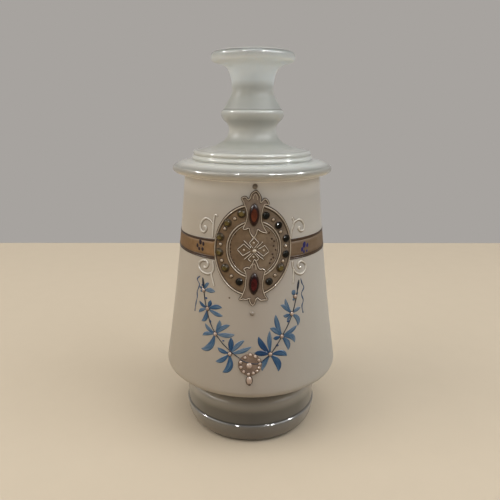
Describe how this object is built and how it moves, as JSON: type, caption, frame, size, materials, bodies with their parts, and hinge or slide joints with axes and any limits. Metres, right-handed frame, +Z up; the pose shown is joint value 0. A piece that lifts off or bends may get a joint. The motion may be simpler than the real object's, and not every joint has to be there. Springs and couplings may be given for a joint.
{
  "type": "opaline glass vase",
  "caption": "Footed milky glass vase with a tapered body, stepped shoulder, knopped neck and flared rim, with a jewelled enamel medallion, band and flower garland on the front.",
  "frame": {"origin": "centre of the ring under the foot, in the plane that the vase stands on", "axes": "+Z up along the vase's own axis, -Y out of the front through the medallion, +X to the right seen from the front"},
  "size_m": [0.097, 0.0978, 0.2042],
  "materials": {
    "opaline_glass": "satin",
    "taupe_enamel": "matte",
    "tan_enamel": "matte",
    "dark_border": "satin",
    "cream_enamel": "gloss",
    "pearl_enamel": "gloss",
    "ruby_jewel": "polished",
    "green_jewel": "polished",
    "blue_enamel": "gloss"
  },
  "bodies": {
    "root": {"vessel": "opaline_glass", "band": "tan_enamel", "band_border_upper": "dark_border", "band_border_lower": "dark_border", "medallion_ground": "taupe_enamel", "cartouche_upper": "taupe_enamel", "cartouche_lower": "taupe_enamel", "rosette": "taupe_enamel", "outer_rim_left": "cream_enamel", "outer_rim_right": "cream_enamel", "inner_rim_left": "cream_enamel", "inner_rim_right": "cream_enamel", "medallion_cross": "cream_enamel", "scroll_left_upper": "cream_enamel", "scroll_left_lower": "cream_enamel", "scroll_right_upper": "cream_enamel", "scroll_right_lower": "cream_enamel", "navette_upper": "ruby_jewel", "navette_lower": "ruby_jewel", "jewel_left_1": "green_jewel", "jewel_left_2": "green_jewel", "jewel_left_3": "green_jewel", "jewel_left_4": "green_jewel", "jewel_left_5": "green_jewel", "jewel_left_6": "green_jewel", "jewel_right_1": "green_jewel", "jewel_right_2": "green_jewel", "jewel_right_3": "green_jewel", "jewel_right_4": "green_jewel", "jewel_right_5": "green_jewel", "jewel_right_6": "green_jewel", "ring_pearl_left_1": "pearl_enamel", "ring_pearl_left_2": "pearl_enamel", "ring_pearl_left_3": "pearl_enamel", "ring_pearl_left_4": "pearl_enamel", "ring_pearl_left_5": "pearl_enamel", "ring_pearl_right_1": "pearl_enamel", "ring_pearl_right_2": "pearl_enamel", "ring_pearl_right_3": "pearl_enamel", "ring_pearl_right_4": "pearl_enamel", "ring_pearl_right_5": "pearl_enamel", "pearl_top": "pearl_enamel", "pearl_bottom": "pearl_enamel", "rosette_centre_pearl": "pearl_enamel", "pendant_drop": "pearl_enamel", "flower_centre_left_1": "pearl_enamel", "flower_centre_left_2": "pearl_enamel", "flower_centre_left_3": "pearl_enamel", "flower_centre_left_4": "pearl_enamel", "flower_centre_right_1": "pearl_enamel", "flower_centre_right_2": "pearl_enamel", "flower_centre_right_3": "pearl_enamel", "flower_centre_right_4": "pearl_enamel", "garland_left": "blue_enamel", "garland_right": "blue_enamel", "ribbon_left": "blue_enamel", "ribbon_right": "blue_enamel"}
  },
  "joints": []
}
